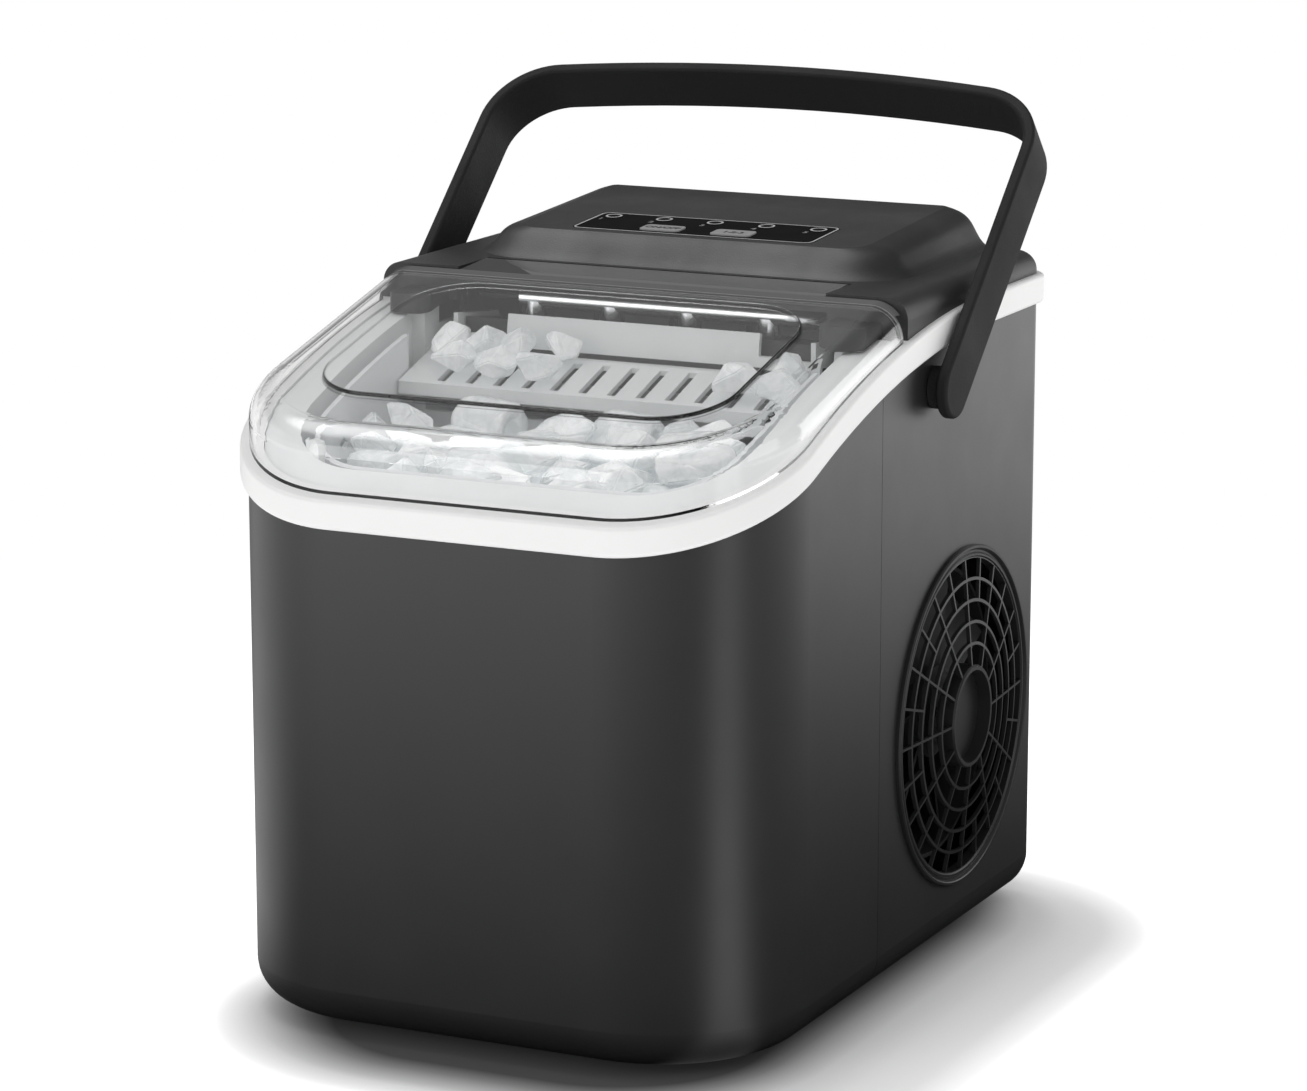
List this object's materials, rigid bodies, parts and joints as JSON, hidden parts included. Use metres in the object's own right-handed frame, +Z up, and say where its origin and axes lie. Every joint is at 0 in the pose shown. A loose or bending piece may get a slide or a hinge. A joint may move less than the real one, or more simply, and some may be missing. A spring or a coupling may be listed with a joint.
{
  "type": "countertop ice maker",
  "caption": "Compact countertop ice maker with a clear hinged lid, lift-out ice basket, sloping control panel, side fan grille and swinging carry handle.",
  "frame": {"origin": "on the floor plane, under the middle of the machine", "axes": "+Z up, -Y towards the front (lid and basket), +X towards the side with the fan grille"},
  "size_m": [0.2424, 0.2976, 0.3376],
  "materials": {
    "shell_black": "fine satin moulding",
    "base_grey": "plain moulded",
    "rubber_black": "matt rubber",
    "screw_steel": "zinc plated",
    "trim_white": "satin white",
    "cover_black": "satin gloss black",
    "label_black": "printed film",
    "lamp_clear": "diffused lens",
    "button_grey": "soft satin",
    "board_green": "solder mask",
    "lid_clear": "clear polished plastic",
    "pin_steel": "ground",
    "handle_black": "satin gloss black",
    "pivot_black": "satin gloss black",
    "bushing_white": "acetal",
    "grille_black": "satin moulding",
    "fan_black": "plain moulded",
    "motor_steel": "galvanised",
    "shroud_grey": "plain moulded",
    "condenser_aluminium": "bare fins",
    "compressor_black": "gloss enamel",
    "terminal_grey": "plain moulded",
    "pipe_copper": "drawn copper",
    "valve_brass": "machined",
    "pump_white": "plain moulded",
    "hose_clear": "silicone",
    "foam_white": "expanded foam",
    "plug_rubber": "matt rubber",
    "tank_white": "satin white",
    "basket_black": "satin moulding",
    "chute_white": "satin white",
    "sensor_dark": "smooth",
    "finger_chrome": "nickel plated",
    "frame_black": "plain moulded",
    "tray_white": "satin white",
    "shovel_white": "satin white",
    "motor_housing": "plain moulded"
  },
  "bodies": {
    "cabinet": {"front_shell": "shell_black", "rear_shell": "shell_black", "base_pan": "base_grey", "feet": "rubber_black", "base_screws": "screw_steel", "trim_band": "trim_white", "top_cover": "cover_black", "panel_label": "label_black", "led_lenses": "lamp_clear", "control_board": "board_green", "board_screws": "screw_steel", "pivot_bushings": "bushing_white", "fan_grille": "grille_black", "fan_motor": "motor_steel", "fan_shroud": "shroud_grey", "condenser": "condenser_aluminium", "compressor": "compressor_black", "compressor_grommets": "rubber_black", "compressor_bolts": "screw_steel", "terminal_cover": "terminal_grey", "discharge_pipe": "pipe_copper", "liquid_pipe": "pipe_copper", "filter_drier": "pipe_copper", "capillary_tube": "pipe_copper", "suction_pipe": "pipe_copper", "hot_gas_pipes": "pipe_copper", "hot_gas_valve": "valve_brass", "water_pump": "pump_white", "pump_inlet_tube": "hose_clear", "water_feed_tube": "hose_clear", "power_board": "board_green", "cord_gland": "rubber_black", "tank_insulation": "foam_white", "inner_tank": "tank_white", "ice_chute": "chute_white", "ice_sensor": "sensor_dark", "evaporator": "finger_chrome", "mechanism_frame": "frame_black", "tray_motor": "motor_housing"},
    "lid": {"lid": "lid_clear", "lid_pins": "pin_steel"},
    "handle": {"handle": "handle_black", "handle_pivots": "pivot_black"},
    "fan": {"fan": "fan_black", "fan_shaft": "pin_steel"},
    "power_button": {"power_button": "button_grey"},
    "select_button": {"select_button": "button_grey"},
    "basket": {"ice_basket": "basket_black"},
    "tray": {"water_tray": "tray_white"},
    "shovel": {"ice_shovel": "shovel_white"},
    "plug": {"drain_plug": "plug_rubber"}
  },
  "joints": [
    {"name": "lid_hinge", "type": "hinge", "parent": "cabinet", "child": "lid", "pos_m": [0, 0.0245, 0.265], "axis": [-1, 0, 0], "range_deg": [0, 95]},
    {"name": "handle_swing", "type": "hinge", "parent": "cabinet", "child": "handle", "pos_m": [0, 0.03, 0.2305], "axis": [-1, 0, 0], "range_deg": [-120, 0]},
    {"name": "fan_spin", "type": "hinge", "parent": "cabinet", "child": "fan", "pos_m": [0.092, 0.0628, 0.0945], "axis": [1, 0, 0], "continuous": true},
    {"name": "power_press", "type": "slide", "parent": "cabinet", "child": "power_button", "axis": [0, 0.0628, -0.998], "range_m": [0, 0.0006], "stiffness_N_per_m": 1200},
    {"name": "select_press", "type": "slide", "parent": "cabinet", "child": "select_button", "axis": [0, 0.0628, -0.998], "range_m": [0, 0.0006], "stiffness_N_per_m": 1200},
    {"name": "tray_tilt", "type": "hinge", "parent": "cabinet", "child": "tray", "pos_m": [0, 0.06, 0.2355], "axis": [1, 0, 0], "range_deg": [0, 80]},
    {"name": "shovel_swing", "type": "hinge", "parent": "cabinet", "child": "shovel", "pos_m": [0, 0.028, 0.24], "axis": [1, 0, 0], "range_deg": [0, 80]},
    {"name": "basket_lift", "type": "slide", "parent": "cabinet", "child": "basket", "axis": [0, 0, 1], "range_m": [0, 0.012]},
    {"name": "plug_pull", "type": "slide", "parent": "cabinet", "child": "plug", "axis": [0, 0, -1], "range_m": [0, 0.026]}
  ],
  "couplings": [
    {"joint": "shovel_swing", "follows": "tray_tilt", "ratio": 1}
  ]
}
